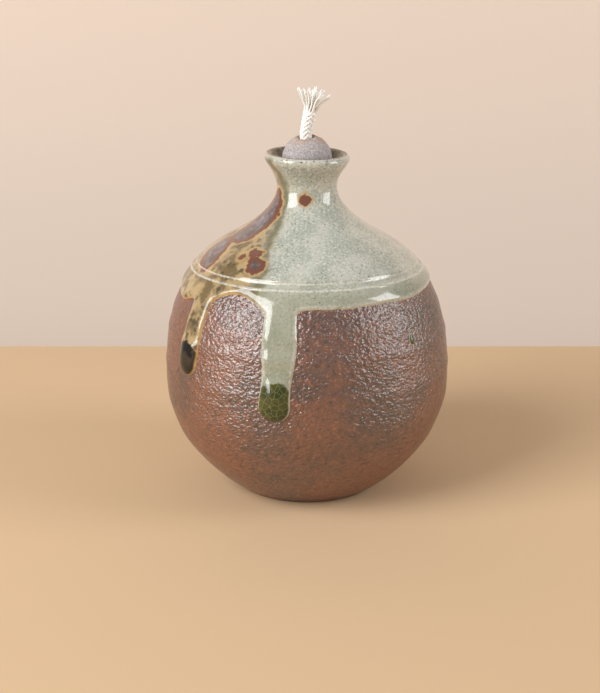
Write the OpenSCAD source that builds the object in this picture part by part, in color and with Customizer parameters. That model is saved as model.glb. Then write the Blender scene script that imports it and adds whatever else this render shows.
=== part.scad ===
// Stoneware oil lamp: a thrown bottle-shaped vessel, its poured ash glaze with
// two long runs, a pierced clay ball that stops the neck, and a cotton wick.
// Millimetres, +Z up, origin at the centre of the foot ring, front towards -Y.

/* [Vessel outline] */
// Diameter of the foot where it leaves the table
foot_d = 63; // [52:1:72]
// Diameter at the widest point
belly_d = 120; // [108:1:135]
// Height of the widest point
belly_h = 50; // [42:1:60]
// Diameter of the shoulder, where the glaze ends
shoulder_d = 103; // [92:1:108]
// Rise from the widest point to the shoulder
shoulder_rise = 38; // [30:1:46]
// Diameter where the crown turns into the hollow of the neck
crown_d = 65; // [56:1:74]
// Rise from the shoulder to that turn
crown_rise = 18; // [14:1:24]
// Diameter at the narrowest point of the neck
neck_d = 23.8; // [21:0.2:28]
// Rise from the turn to the narrowest point
neck_rise = 21; // [17:1:26]
// Diameter under the lip
lip_d = 34; // [31:0.5:38]
// Rise from the narrowest point to the lip
lip_rise = 11.8; // [10:0.2:14]

/* [Clay walls] */
// Wall at the widest point
belly_wall = 5; // [3.5:0.1:7]
// Wall at the shoulder
shoulder_wall = 4.4; // [3.2:0.1:6]
// Wall at the neck
neck_wall = 4.2; // [3:0.1:4.4]
// Wall at the lip
lip_wall = 2.8; // [2.4:0.1:3.6]
// Height of the floor inside
floor_h = 7; // [5:0.5:10]
// Radius of the flat part of the floor
floor_r = 23; // [16:0.5:26]
// Width of the foot ring
ring_w = 7; // [5:0.5:10]
// Depth of the hollow inside the foot ring
ring_depth = 1.6; // [1:0.1:3]
// Bevel on the foot's outer edge
foot_bevel = 0.8; // [0.4:0.1:1.5]

/* [Turned groove] */
// Rise of the groove above the shoulder
groove_rise = 7.6; // [5:0.1:11]
// Depth of the groove
groove_depth = 0.5; // [0.2:0.05:0.9]
// Half width of the groove
groove_half_w = 1; // [0.7:0.1:1.5]

/* [Glaze] */
// Thickness of the outer glaze where it pools at the shoulder
coat_t = 0.8; // [0.5:0.05:1.2]
// Thickness of the outer glaze on the neck
neck_coat_t = 0.5; // [0.3:0.05:0.8]
// Thickness of the glaze inside and on the lip
liner_t = 0.4; // [0.25:0.05:0.6]
// Height over which the glaze's lower edge rounds off
edge_round = 1.4; // [0.8:0.1:2.5]
// Radius of the bare bay in the glaze between the two runs
bay_r = 13; // [9:0.5:15]
// Direction of that bay, to the left of the front
bay_angle = 33; // [30:1:36]
// How high the bay reaches above the shoulder
bay_rise = 6.4; // [4:0.2:8]

/* [Glaze runs] */
// Direction of the front run, to the left of the front
front_run_angle = 11; // [5:1:14]
// Width of the front run
front_run_w = 13; // [9:0.5:15]
// Length of the front run below the shoulder
front_run_l = 42; // [30:1:52]
// Direction of the left run
left_run_angle = 52.5; // [48:0.5:60]
// Width of the left run
left_run_w = 11; // [8:0.5:13]
// Length of the left run below the shoulder
left_run_l = 31; // [20:1:44]
// Thickness of a run
run_t = 1; // [0.6:0.1:1.6]
// Thickness of the bead at the end of a run
bead_t = 2; // [1.2:0.1:2.8]
// How much wider a run is on each side where it leaves the coat
run_root = 2.5; // [0:0.5:4]
// How far the glaze has sunk into the clay under a run
run_bite = 0.2; // [0.1:0.05:0.3]

/* [Stopper] */
// Diameter of the clay ball
ball_d = 20.4; // [19.6:0.2:22]
// Diameter of the hole through it
bore_d = 6.2; // [5.8:0.1:7.5]
// Width of the softened edge of the hole
bore_edge = 0.5; // [0.2:0.1:0.8]
// Lean of the ball towards the front, in degrees
ball_lean_front = 10; // [0:1:11]
// Lean of the ball to the left, in degrees
ball_lean_left = 3; // [0:1:5]
// Gap between the ball and the glazed seat
seat_gap = 0.2; // [0.1:0.05:0.4]

/* [Wick] */
// Diameter of the cotton cord
wick_d = 5; // [4:0.1:5.4]
// Thickness of one loose yarn in the frayed end
yarn_d = 0.7; // [0.5:0.05:0.75]
// Length of the frayed end
fray_l = 11; // [8:0.5:14]
// How wide the yarns fan out at their tips, in wick widths
fray_spread = 2.3; // [1.6:0.1:2.8]

/* [Hidden] */
$fn = 96;

foot_r = foot_d / 2;
belly_r = belly_d / 2;
shoulder_r = shoulder_d / 2;
crown_r = crown_d / 2;
neck_r = neck_d / 2;
lip_r = lip_d / 2;
ball_r = ball_d / 2;
bore_r = bore_d / 2;
wick_r = wick_d / 2;

shoulder_h = belly_h + shoulder_rise;
crown_h = shoulder_h + crown_rise;
neck_h = crown_h + neck_rise;
lip_h = neck_h + lip_rise;

// Each stretch of the outline is a cubic curve: two ends and two handles, as [radius, height].
function bezier(c, t) = pow(1 - t, 3) * c[0] + 3 * pow(1 - t, 2) * t * c[1]
    + 3 * (1 - t) * t * t * c[2] + pow(t, 3) * c[3];
function stretch(c, n) = [for (i = [0 : n - 1]) bezier(c, i / n)];

foot_edge = [foot_r, foot_bevel];
belly = [belly_r, belly_h];
shoulder = [shoulder_r, shoulder_h];
crown = [crown_r, crown_h];
neck = [neck_r, neck_h];
lip = [lip_r, lip_h];

lower_belly = [foot_edge, foot_edge + [20, 13.5], belly - [0, 19], belly];
upper_belly = [belly, belly + [0, 3], shoulder + [8.4, -13.7], shoulder];
shoulder_crown = [shoulder, shoulder + [-4.7, 7.7], crown + [8.7, -4.7], crown];
neck_hollow = [crown, crown + [-3.5, 1.9], neck - [0, 10.7], neck];
lip_flare = [neck, neck + [0, 5.2], lip - [0.8, 2.2], lip];

belly_curve = concat(stretch(lower_belly, 14), stretch(upper_belly, 10));
crown_curve = stretch(shoulder_crown, 30);
neck_curve = concat(stretch(neck_hollow, 14), stretch(lip_flare, 8), [lip]);

// Unit vector that points out of the clay, square to the outline, at point i.
function normal(c, i) = let (
    a = c[max(i - 1, 0)],
    b = c[min(i + 1, len(c) - 1)],
    d = (b - a) / norm(b - a)) [d[1], -d[0]];
function moved_out(c, t) = [for (i = [0 : len(c) - 1]) c[i] + t[i] * normal(c, i)];

upper_curve = concat(crown_curve, neck_curve);
groove_h = shoulder_h + groove_rise;
groove_cut = [for (p = upper_curve) -groove_depth * exp(-pow((p[1] - groove_h) / groove_half_w, 4))];
grooved_curve = moved_out(upper_curve, groove_cut);

// The lip is a half round between the outer and the inner wall.
lip_normal = normal(upper_curve, len(upper_curve) - 1);
lip_turn = atan2(lip_normal[1], lip_normal[0]);
lip_centre = lip - lip_wall / 2 * lip_normal;
function lip_arc(r, from, to, n) = [for (i = [0 : n])
    let (a = lip_turn + from + (to - from) * i / n) lip_centre + r * [cos(a), sin(a)]];

// The inner wall is the outer one moved in by the wall's thickness, down to the widest point.
wall_at = [[belly_h, belly_wall], [shoulder_h, shoulder_wall], [neck_h, neck_wall], [lip_h, lip_wall]];
wall_curve = concat(stretch(upper_belly, 10), stretch(shoulder_crown, 12), neck_curve);
inner_upper = moved_out(wall_curve, [for (p = wall_curve) -lookup(p[1], wall_at)]);
inner_belly = [belly_r - belly_wall, belly_h];
inner_lower = [[floor_r, floor_h], [floor_r + 17, floor_h], inner_belly - [0, 19], inner_belly];
inner_curve = concat([[0, floor_h]], stretch(inner_lower, 14), inner_upper);

function reversed(c) = [for (i = [len(c) - 1 : -1 : 0]) c[i]];

module vessel() {
    color("sienna")
        rotate_extrude()
            polygon(concat(
                [[0, ring_depth], [foot_r - ring_w - ring_depth, ring_depth], [foot_r - ring_w, 0],
                    [foot_r - foot_bevel, 0]],
                belly_curve, grooved_curve,
                [for (i = [1 : 7]) lip_arc(lip_wall / 2, 0, 180, 8)[i]],
                reversed(inner_curve)));
}

// Outer glaze: thin at the lip, thick at the shoulder, with a rounded lower edge.
coat_at = [[shoulder_h, coat_t], [neck_h, neck_coat_t], [lip_h, liner_t]];
function edge_share(rise) = rise >= edge_round ? 1
    : max(0.3, sqrt(1 - pow(1 - rise / edge_round, 2)));
coat_thickness = [for (p = upper_curve) lookup(p[1], coat_at) * edge_share(p[1] - shoulder_h)];
coat_surface = moved_out(grooved_curve, coat_thickness);

module glaze_coat() {
    bay_h = shoulder_h + bay_rise - bay_r;
    color("darkseagreen")
        difference() {
            rotate_extrude()
                polygon(concat(grooved_curve, [for (i = [1 : 4]) lip_arc(lip_wall / 2, 0, 90, 4)[i]],
                    reversed(lip_arc(lip_wall / 2 + liner_t, 0, 90, 4)), reversed(coat_surface)));
            rotate([0, 0, -bay_angle])
                translate([0, 0, bay_h])
                    rotate([90, 0, 0])
                        cylinder(r = bay_r, h = belly_r + 10);
        }
}

// Glaze inside, from the crest of the lip to the floor.
liner_wall = [for (i = [1 : len(inner_curve) - 1]) inner_curve[i]];
liner_surface = moved_out(liner_wall, [for (p = liner_wall) -liner_t]);

module glaze_liner() {
    color("rosybrown")
        rotate_extrude()
            polygon(concat(inner_curve, reversed([for (i = [0 : 3]) lip_arc(lip_wall / 2, 90, 180, 4)[i]]),
                lip_arc(lip_wall / 2 + liner_t, 90, 180, 4),
                reversed(liner_surface), [[0, floor_h + liner_t]]));
}

// Faces of a solid whose closed rings of n points follow each other, with both ends capped.
function ring_faces(rings, n) = concat(
    [for (k = [0 : rings - 2], i = [0 : n - 1]) [k * n + i, k * n + (i + 1) % n, (k + 1) * n + i]],
    [for (k = [0 : rings - 2], i = [0 : n - 1])
        [k * n + (i + 1) % n, (k + 1) * n + (i + 1) % n, (k + 1) * n + i]],
    [for (i = [1 : n - 2]) [0, i + 1, i]],
    [for (i = [1 : n - 2]) [(rings - 1) * n, (rings - 1) * n + i, (rings - 1) * n + i + 1]]);
function flat_list(lists) = [for (l = lists, p = l) p];

// A point of the clay's outside at a height, moved out by t, at an angle to the left of the front.
clay_radius_at = [for (p = concat(belly_curve, crown_curve)) [p[1], p[0]]];
function on_clay(h, angle, t) = let (
    slope = lookup(h + 0.5, clay_radius_at) - lookup(h - 0.5, clay_radius_at),
    tilt = sqrt(1 + slope * slope),
    r = lookup(h, clay_radius_at) + t / tilt)
    [-r * sin(angle), -r * cos(angle), h - t * slope / tilt];

// A tongue of glaze that has run down the clay: a domed strip that ends in a thicker round bead.
// Its first rings lie closer together, where it narrows from its root.
across = 8;
down = 24;
root_fade = 3;
module glaze_tongue(angle, top_h, w, length, t, bead, root = 0) {
    half = w / 2;
    straight = length - half;
    function travel(k) = k <= down / 2 ? straight * pow(k / (down / 2), 1.5)
        : straight + 0.98 * half * sin(90 * (k - down / 2) / (down / 2));
    function half_width(d) = root * exp(-pow(d / root_fade, 2))
        + (d <= straight ? half : sqrt(half * half - pow(d - straight, 2)));
    function thickness(d) = t + (bead - t) * exp(-pow((d - straight) / half, 2));
    rings = [for (k = [0 : down]) let (
        d = travel(k),
        h = top_h - d,
        spread = half_width(d) / lookup(h, clay_radius_at) * 180 / PI,
        dome = thickness(d) * sqrt(half_width(d) / half))
        concat(
            [for (i = [0 : across]) let (u = 2 * i / across - 1)
                on_clay(h, angle - u * spread, dome * (1 - pow(u, 4)))],
            [for (i = [across : -1 : 0]) let (u = 2 * i / across - 1)
                on_clay(h, angle - u * spread, -run_bite)])];
    polyhedron(points = flat_list(rings), faces = ring_faces(down + 1, 2 * (across + 1)));
}

// The runs start under the pooled edge of the coat.
run_top_h = shoulder_h + edge_round;

module glaze_run_front() {
    color("darkseagreen")
        glaze_tongue(front_run_angle, run_top_h, front_run_w, front_run_l + edge_round, run_t, bead_t, run_root);
}

module glaze_run_left() {
    color("darkkhaki")
        glaze_tongue(left_run_angle, run_top_h, left_run_w, left_run_l + edge_round, run_t, bead_t, run_root);
}

// Two spots of glaze that splashed beside the right: [angle, drop below the shoulder, width, length].
drops = [[-45.5, 13, 2.8, 4.4], [-54.5, 6.4, 1.6, 2.4]];
drop_t = 0.8;

module glaze_drops() {
    color("darkseagreen")
        for (d = drops)
            glaze_tongue(d[0], shoulder_h - d[1], d[2], d[3], drop_t, drop_t);
}

// The ball comes to rest where it first meets the glazed inside of the neck.
seat_reach = ball_r + seat_gap;
ball_h = max([for (p = liner_surface) if (p[0] < seat_reach && p[1] > crown_h)
    p[1] + sqrt(pow(seat_reach, 2) - pow(p[0], 2))]);
bore_axis = [-sin(ball_lean_left) * cos(ball_lean_front), -sin(ball_lean_front),
    cos(ball_lean_left) * cos(ball_lean_front)];
bore_half = sqrt(pow(ball_r, 2) - pow(bore_r, 2));

// Turns upright things to the lean of the ball, about its centre.
module leaning() {
    translate([0, 0, ball_h])
        rotate([ball_lean_front, -ball_lean_left, 0])
            children();
}

module stopper() {
    color("rosybrown")
        leaning()
            difference() {
                sphere(r = ball_r);
                cylinder(r = bore_r, h = 2 * ball_r + 1, center = true);
                for (end = [0, 180])
                    rotate([end, 0, 0])
                        translate([0, 0, bore_half - bore_edge])
                            cylinder(r1 = bore_r - 0.01, r2 = bore_r + 2 * bore_edge, h = 2 * bore_edge);
            }
}

// The wick's route: down the bore's axis, then hanging to just above the floor.
// The hand-chosen points are offsets to the right, to the back and up, from the ball's centre.
stem_bend = [[-0.5, -1.8, 10.6], [-0.1, -1.9, 12.8], [0.4, -2, 15.2], [0.9, -2, 17.4], [1.3, -2, 19]];
tail_bend = [[1.3, 4.2, -28], [1.2, 4.2, -38], [1, 4, -50], [0.8, 3.6, -62], [0.9, 3.3, -74],
    [1.2, 3.4, -86], [1.4, 3.8, -98], [1.3, 4.1, -110], [1, 4.1, -121]];
bore_ends = 9.4;
straight_tail = 22;
tail_gap = 0.8;
function down_bore(s) = [0, 0, ball_h] + s * bore_axis;
stem_route = concat([down_bore(-bore_ends), down_bore(-4), down_bore(2), down_bore(8)],
    [for (p = stem_bend) [0, 0, ball_h] + p]);
tail_end = [0.8, 4, floor_h + liner_t + tail_gap];
tail_route = concat([for (s = [bore_ends, 15, straight_tail]) down_bore(-s)],
    [for (p = tail_bend) [0, 0, ball_h] + p], [tail_end]);

// A round tube along a route that climbs or falls steeply, with square ends.
function unit(v) = v / norm(v);
function heading(c, i) = unit(c[min(i + 1, len(c) - 1)] - c[max(i - 1, 0)]);
function tube_rings(c, r, sides) = [for (i = [0 : len(c) - 1]) let (
    d = heading(c, i),
    x = unit(cross([0, 1, 0], d)),
    y = cross(d, x))
    [for (k = [0 : sides - 1]) c[i] + r[i] * (cos(360 * k / sides) * x + sin(360 * k / sides) * y)]];
module tube(c, r, sides) {
    up = c[len(c) - 1][2] > c[0][2];
    faces = ring_faces(len(c), sides);
    polyhedron(points = flat_list(tube_rings(c, r, sides)), faces = [for (f = faces) reversed(f)]);
}

stem_sides = 16;
tail_sides = 10;
stem_radii = [for (i = [0 : len(stem_route) - 1]) wick_r * (1 + 0.06 * max(0, i - 5) / 3)];

module wick_stem() {
    color("ivory")
        tube(stem_route, stem_radii, stem_sides);
}

module wick_tail() {
    color("ivory")
        tube(tail_route, [for (p = tail_route) wick_r], tail_sides);
}

// The frayed end: yarns packed in rings on a slice of the cord, fanning out as they rise.
fray_root = stem_route[len(stem_route) - 1];
fray_axis = heading(stem_route, len(stem_route) - 1);
fray_x = unit(cross([0, 1, 0], fray_axis));
fray_y = cross(fray_axis, fray_x);
slice_h = 1.2;
yarn_rings = 3;
yarn_pitch = wick_r / (yarn_rings + 0.55);
yarn_sides = 6;
yarn_steps = 6;
function in_fray(p) = fray_root + p[0] * fray_x + p[1] * fray_y + p[2] * fray_axis;
function yarn_route(ring, turn, rise) = let (
    root = ring * yarn_pitch * [cos(turn), sin(turn)],
    tip = fray_spread * root * (1 + 0.06 * ring),
    top = fray_l * rise * (1 - 0.03 * ring * ring),
    curve = [[root[0], root[1], slice_h / 2], [root[0], root[1], 0.35 * top],
        [0.75 * tip[0], 0.75 * tip[1], 0.7 * top], [tip[0], tip[1], top]])
    [for (k = [0 : yarn_steps]) in_fray(bezier(curve, k / yarn_steps))];

module wick_fray() {
    radii = [for (k = [0 : yarn_steps]) yarn_d / 2];
    color("white")
        union() {
            tube([for (h = [0, slice_h]) in_fray([0, 0, h])],
                [for (i = [0, 1]) stem_radii[len(stem_radii) - 1]], stem_sides);
            for (ring = [0 : yarn_rings])
                for (i = [0 : max(0, 6 * ring - 1)])
                    tube(yarn_route(ring, 60 * i / max(1, ring) + 10 * ring, 1 - 0.11 * ((i * 7 + ring * 3) % 4) / 3),
                        radii, yarn_sides);
        }
}

vessel();
glaze_coat();
glaze_liner();
glaze_run_front();
glaze_run_left();
glaze_drops();
stopper();
wick_stem();
wick_fray();
wick_tail();
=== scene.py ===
# %% [markdown]
# # A stoneware oil lamp
# The lamp is a thrown bottle with an ash glaze poured over its shoulder. The glaze melted and ran
# down the front in two tongues. A pierced clay ball sits in the neck and holds a cotton wick.
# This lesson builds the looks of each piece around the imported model, which gives every piece its place.

import math
import random

import bmesh
import bpy
from mathutils import Matrix, Vector, noise


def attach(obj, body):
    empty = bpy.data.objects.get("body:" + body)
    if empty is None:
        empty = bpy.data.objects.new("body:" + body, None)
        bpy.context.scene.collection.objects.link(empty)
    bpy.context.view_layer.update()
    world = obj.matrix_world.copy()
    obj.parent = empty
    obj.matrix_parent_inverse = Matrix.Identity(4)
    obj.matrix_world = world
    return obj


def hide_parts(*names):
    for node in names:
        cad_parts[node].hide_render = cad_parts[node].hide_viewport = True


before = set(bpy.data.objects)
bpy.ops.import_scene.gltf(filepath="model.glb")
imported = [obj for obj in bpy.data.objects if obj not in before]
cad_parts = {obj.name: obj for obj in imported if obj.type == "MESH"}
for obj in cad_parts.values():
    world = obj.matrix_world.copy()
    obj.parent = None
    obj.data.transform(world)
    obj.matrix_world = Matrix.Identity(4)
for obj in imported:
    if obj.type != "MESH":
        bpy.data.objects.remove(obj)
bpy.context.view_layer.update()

MM = 0.001
UP = Vector((0, 0, 1))
random.seed(11)

# %% [markdown]
# ## Camera
# The camera looks down at the lamp by about sixteen degrees from half a metre away. Its distance matters
# as much as its angle, because it sets how open the ellipse of the lip looks. A small shift puts the lamp
# where the photograph has it, without turning the view.

# %% Place the camera
VIEW_DISTANCE = 492.4 * MM
VIEW_TILT = math.radians(16.38)
VIEW_TARGET = Vector((0, 0, 64.3 * MM))

camera_data = bpy.data.cameras.new("view_camera")
camera_data.lens = 60.3
camera_data.sensor_width = 36
camera_data.shift_x = -0.0101
camera_data.shift_y = -0.0199
camera = bpy.data.objects.new("view_camera", camera_data)
camera.location = VIEW_TARGET + VIEW_DISTANCE * Vector((0, -math.cos(VIEW_TILT), math.sin(VIEW_TILT)))
camera.rotation_euler = (math.pi / 2 - VIEW_TILT, 0, 0)
bpy.context.scene.collection.objects.link(camera)
bpy.context.scene.camera = camera
print("camera stands at", camera.location)

# %% [markdown]
# ## Outline of the pot
# A potter's rib gives the wall long, even curves, so the outline is five cubic curves in a row, each with
# two ends and two handles in millimetres as radius and height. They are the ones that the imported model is
# turned from. The same outline serves the clay, the glaze on it and the places of the marks.

# %% Curves of the outline
FOOT, BELLY, SHOULDER = Vector((31.5, 0.8)), Vector((60, 50)), Vector((51.5, 88))
CROWN, NECK, LIP = Vector((32.5, 106)), Vector((11.9, 127)), Vector((17, 138.8))
LIP_WALL = 2.8
OUTLINE_CURVES = [
    (FOOT, FOOT + Vector((20, 13.5)), BELLY - Vector((0, 19)), BELLY),
    (BELLY, BELLY + Vector((0, 3)), SHOULDER + Vector((8.4, -13.7)), SHOULDER),
    (SHOULDER, SHOULDER + Vector((-4.7, 7.7)), CROWN + Vector((8.7, -4.7)), CROWN),
    (CROWN, CROWN + Vector((-3.5, 1.9)), NECK - Vector((0, 10.7)), NECK),
    (NECK, NECK + Vector((0, 5.2)), LIP - Vector((0.8, 2.2)), LIP),
]


def bezier(curve, t):
    a, b, c, d = curve
    return (1 - t) ** 3 * a + 3 * (1 - t) ** 2 * t * b + 3 * (1 - t) * t * t * c + t ** 3 * d


def even_points(points, step):
    """Points at even distances along a line of points, first and last kept."""
    lengths = [0]
    for a, b in zip(points, points[1:]):
        lengths.append(lengths[-1] + (b - a).length)
    count = max(1, round(lengths[-1] / step))
    result, i = [], 0
    for k in range(count + 1):
        want = lengths[-1] * k / count
        while i < len(points) - 2 and lengths[i + 1] < want:
            i += 1
        share = (want - lengths[i]) / max(lengths[i + 1] - lengths[i], 1e-9)
        result.append(points[i].lerp(points[i + 1], min(share, 1)))
    return result


FINE = 60
OUTLINE = [bezier(curve, k / FINE) for curve in OUTLINE_CURVES for k in range(FINE)] + [LIP]
OUTLINE_WAY = [0]
for lower, upper in zip(OUTLINE, OUTLINE[1:]):
    OUTLINE_WAY.append(OUTLINE_WAY[-1] + (upper - lower).length)
print("outline is %.1f mm long from foot to lip" % OUTLINE_WAY[-1])

# %% [markdown]
# Every mark on the pot has a place on its skin: an angle to the left of the front and a height. These
# helpers turn a height into the radius there, the way up the wall to it, and the direction that points
# straight out of the clay.

# %% Read the outline at a height
def outline_at(height):
    """Radius, way up the wall and outward slope of the outline at a height, in millimetres."""
    low, high = 0, len(OUTLINE) - 1
    while high - low > 1:
        middle = (low + high) // 2
        if OUTLINE[middle].y <= height:
            low = middle
        else:
            high = middle
    a, b = OUTLINE[low], OUTLINE[high]
    share = (height - a.y) / (b.y - a.y)
    along = (b - a).normalized()
    radius = a.x + share * (b.x - a.x)
    way = OUTLINE_WAY[low] + share * (OUTLINE_WAY[high] - OUTLINE_WAY[low])
    return radius, way, Vector((along.y, -along.x))


def on_wall(angle, height, lift=0.0):
    """A point in metres on the pot's wall, at an angle to the left of the front, moved out by lift."""
    radius, _, out = outline_at(height)
    turn = math.radians(angle)
    r, z = radius + lift * out.x, height + lift * out.y
    return Vector((-r * math.sin(turn), -r * math.cos(turn), z)) * MM


def left_angle(point):
    return math.degrees(math.atan2(-point.x, -point.y))


def smooth_step(low, high, value):
    t = min(max((value - low) / (high - low), 0), 1)
    return t * t * (3 - 2 * t)


def smooth_max(a, b, blend):
    h = max(blend - abs(a - b), 0) / blend
    return max(a, b) + h * h * blend / 4


def smooth_min(a, b, blend):
    return -smooth_max(-a, -b, blend)


# %% [markdown]
# ## The hand in the clay
# A thrown wall is never a perfect lathe shape. Fingers and rib leave soft bands, and the wall wanders by
# a few tenths of a millimetre. One function gives that wander for any place on the skin, so the clay and
# the glaze on it stay together. The turned groove under the crown is part of it.

# %% Wander of the wall
GROOVE_HEIGHT, GROOVE_DEPTH, GROOVE_HALF = 95.6, 0.5, 1.0
GROOVE_EDGE, GROOVE_EDGE_RISE, GROOVE_EDGE_WIDTH = 1.5, 0.12, 0.45
WANDER = 0.22
BAND_HEIGHTS = [(24, 0.2, 4), (40, 0.2, 3.5), (55.5, 0.26, 2.4), (69.5, 0.3, 2.1), (79, 0.14, 2.4)]


def wall_wander(angle, height):
    """How far the skin lies outside the plain outline, in millimetres."""
    turn = math.radians(angle)
    place = Vector((math.sin(turn), math.cos(turn), height / 22))
    lift = WANDER * noise.noise(place * 1.3)
    for band, depth, width in BAND_HEIGHTS:
        middle = band + 0.8 * math.sin(turn + band)
        lift += depth * math.exp(-((height - middle) / width) ** 2) - depth / 3
    lift *= smooth_step(1, 12, height) * (1 - smooth_step(84, 92, height))
    lift -= GROOVE_DEPTH * math.exp(-((height - GROOVE_HEIGHT) / GROOVE_HALF) ** 4)
    for edge in (GROOVE_HEIGHT - GROOVE_EDGE, GROOVE_HEIGHT + GROOVE_EDGE):
        lift += GROOVE_EDGE_RISE * math.exp(-((height - edge) / GROOVE_EDGE_WIDTH) ** 2)
    return lift


LIP_DROP, LEAN_RIGHT, LEAN_FORWARD = 0.55, 0.03, 0.045


def lean_lip(bm):
    """Lowers the lip a little towards the front right, as the thrown lip of the real pot lies."""
    for vert in bm.verts:
        share = smooth_step(127, 139, vert.co.z / MM)
        vert.co.z += share * (-LIP_DROP * MM - LEAN_RIGHT * vert.co.x + LEAN_FORWARD * vert.co.y)


# %% [markdown]
# ## Making meshes
# Round pieces are spun: a wire of points is turned about the pot's axis with bmesh's spin, which makes
# the faces. Small helpers wrap a bmesh into an object whose place is in its mesh, let it ride on its body
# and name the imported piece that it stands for.

# %% Helpers for pieces
def new_piece(name, bm, body, replaces):
    """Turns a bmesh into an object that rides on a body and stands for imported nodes."""
    mesh = bpy.data.meshes.new(name)
    bm.to_mesh(mesh)
    bm.free()
    mesh.shade_smooth()
    piece = bpy.data.objects.new(name, mesh)
    bpy.context.scene.collection.objects.link(piece)
    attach(piece, body)
    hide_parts(*replaces)
    print(name, "has", len(mesh.polygons), "faces")
    return piece


def wire(bm, points, angle=0.0):
    """A chain of vertices through [radius, height] points in millimetres, at an angle to the left."""
    turn = math.radians(angle)
    verts = [bm.verts.new(Vector((-p.x * math.sin(turn), -p.x * math.cos(turn), p.y)) * MM) for p in points]
    edges = [bm.edges.new(pair) for pair in zip(verts, verts[1:])]
    return verts + edges


def spin(bm, geom, degrees, steps, full=False):
    """Turns a wire about the upright axis, to the left for positive degrees."""
    result = bmesh.ops.spin(
        bm, geom=geom, cent=(0, 0, 0), axis=(0, 0, 1), dvec=(0, 0, 0),
        angle=-math.radians(degrees), steps=steps, use_merge=full, use_duplicate=False)
    return result["geom_last"]


def finish_shell(bm, tiny=0.00002):
    bmesh.ops.remove_doubles(bm, verts=bm.verts, dist=tiny)
    bmesh.ops.recalc_face_normals(bm, faces=bm.faces)


# %% [markdown]
# ## The clay vessel
# The whole wall is one closed wire: under the foot ring, up the outside, over the lip, down the inside and
# across the floor. Spinning it gives a solid of revolution with a real hollow, and then each vertex of the
# outside moves by the wander of the wall. The inner wall is the outer one moved in by the wall's thickness.

# %% Spin the vessel
FOOT_RING_WIDTH, FOOT_HOLLOW, FLOOR_HEIGHT, FLOOR_RADIUS = 7, 1.6, 7, 23
WALLS = [(50, 5), (88, 4.4), (127, 4.2), (138.8, 2.8)]
VESSEL_STEPS, OUTSIDE_STEP, INSIDE_STEP, LIP_STEPS = 300, 0.7, 2.0, 10
SKIN_DEPTH = 1.5


def wall_at(height):
    """Thickness of the clay at a height, in millimetres."""
    if height <= WALLS[0][0]:
        return WALLS[0][1]
    for (h0, w0), (h1, w1) in zip(WALLS, WALLS[1:]):
        if height <= h1:
            return w0 + (w1 - w0) * (height - h0) / (h1 - h0)
    return WALLS[-1][1]


LIP_OUT = outline_at(LIP.y - 0.01)[2]
LIP_CENTRE = LIP - LIP_WALL / 2 * LIP_OUT
LIP_TURN = math.atan2(LIP_OUT.y, LIP_OUT.x)


def lip_arc(radius, start, end, steps):
    """Points of the round lip, from one angle to another in degrees, outer side first."""
    angles = [LIP_TURN + math.radians(start + (end - start) * k / steps) for k in range(steps + 1)]
    return [LIP_CENTRE + radius * Vector((math.cos(a), math.sin(a))) for a in angles]


def inner_wall(extra=0.0):
    """The inside of the pot from the lip down to the middle of the floor, moved in by extra."""
    points = []
    for p in reversed(OUTLINE[FINE:]):
        out = outline_at(p.y - 0.001)[2]
        points.append(p - (wall_at(p.y) + extra) * out)
    side = Vector((BELLY.x - WALLS[0][1] - extra, BELLY.y))
    floor = Vector((FLOOR_RADIUS, FLOOR_HEIGHT + extra))
    lower = (side, side - Vector((0, 19)), floor + Vector((17, 0)), floor)
    points += [bezier(lower, k / 24) for k in range(1, 25)]
    return points + [Vector((0, floor.y))]


bm = bmesh.new()
foot_inside = FOOT.x - FOOT_RING_WIDTH
under = [Vector((0, FOOT_HOLLOW)), Vector((foot_inside - 2.4, FOOT_HOLLOW)), Vector((foot_inside - 1, 1.0)),
         Vector((foot_inside, 0)), Vector((FOOT.x - 2, 0)), Vector((FOOT.x - 0.8, 0))]
outside = even_points(OUTLINE, OUTSIDE_STEP)
lip = lip_arc(LIP_WALL / 2, 0, 180, LIP_STEPS)[1:-1]
section = under + outside + lip + even_points(inner_wall(), INSIDE_STEP)
spin(bm, wire(bm, section), 360, VESSEL_STEPS, full=True)
finish_shell(bm)
for vert in bm.verts:
    height = vert.co.z / MM
    radius = math.hypot(vert.co.x, vert.co.y) / MM
    if FOOT.y <= height <= LIP.y and radius > outline_at(height)[0] - SKIN_DEPTH:
        angle = left_angle(vert.co)
        out = outline_at(height)[2]
        turn = math.radians(angle)
        lift = wall_wander(angle, height) * MM
        vert.co += lift * Vector((-out.x * math.sin(turn), -out.x * math.cos(turn), out.y))
lean_lip(bm)
vessel = new_piece("vessel_clay", bm, "vessel", ["vessel"])

# %% [markdown]
# ## Where the glaze lies
# The glaze was poured over the top of the pot and stops in a thick, rounded edge. Its shape is easiest to
# say as a distance: for any place on the skin, how many millimetres inside the edge it lies. The coat, the
# bare bay in it and the two runs each give such a distance, and a smooth minimum or maximum joins them with
# the soft corners of melted glass.

# %% Distance inside the glaze
EDGE_HEIGHT, EDGE_BLEND, RUN_BLEND = 88.2, 3.0, 3.2
DROOP, DROOP_ANGLE, DROOP_WIDTH = 3.6, 70, 11
BAY = {"angle": 32.5, "height": 80.0, "radius": 13.2}
RUNS = {
    "front": {"angle": 11, "drift": 1.2, "half": 6.0, "end": 46, "wander": 0.35},
    "left": {"angle": 52.4, "drift": 0.3, "half": 5.4, "end": 57, "wander": 0.4},
}


def run_shape(run, height):
    """Angle of a run's middle line and half its width at a height."""
    down = smooth_step(88, run["end"], height)
    angle = run["angle"] + run["drift"] * (down - 0.3) + 0.35 * math.sin(height / 5.5 + run["angle"])
    half = run["half"] + run["wander"] * math.sin(height / 4.3 + 2 * run["angle"]) + 0.5 * (1 - down)
    return angle, half


def arc_length(angle, radius):
    return math.radians(angle) * radius


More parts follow.
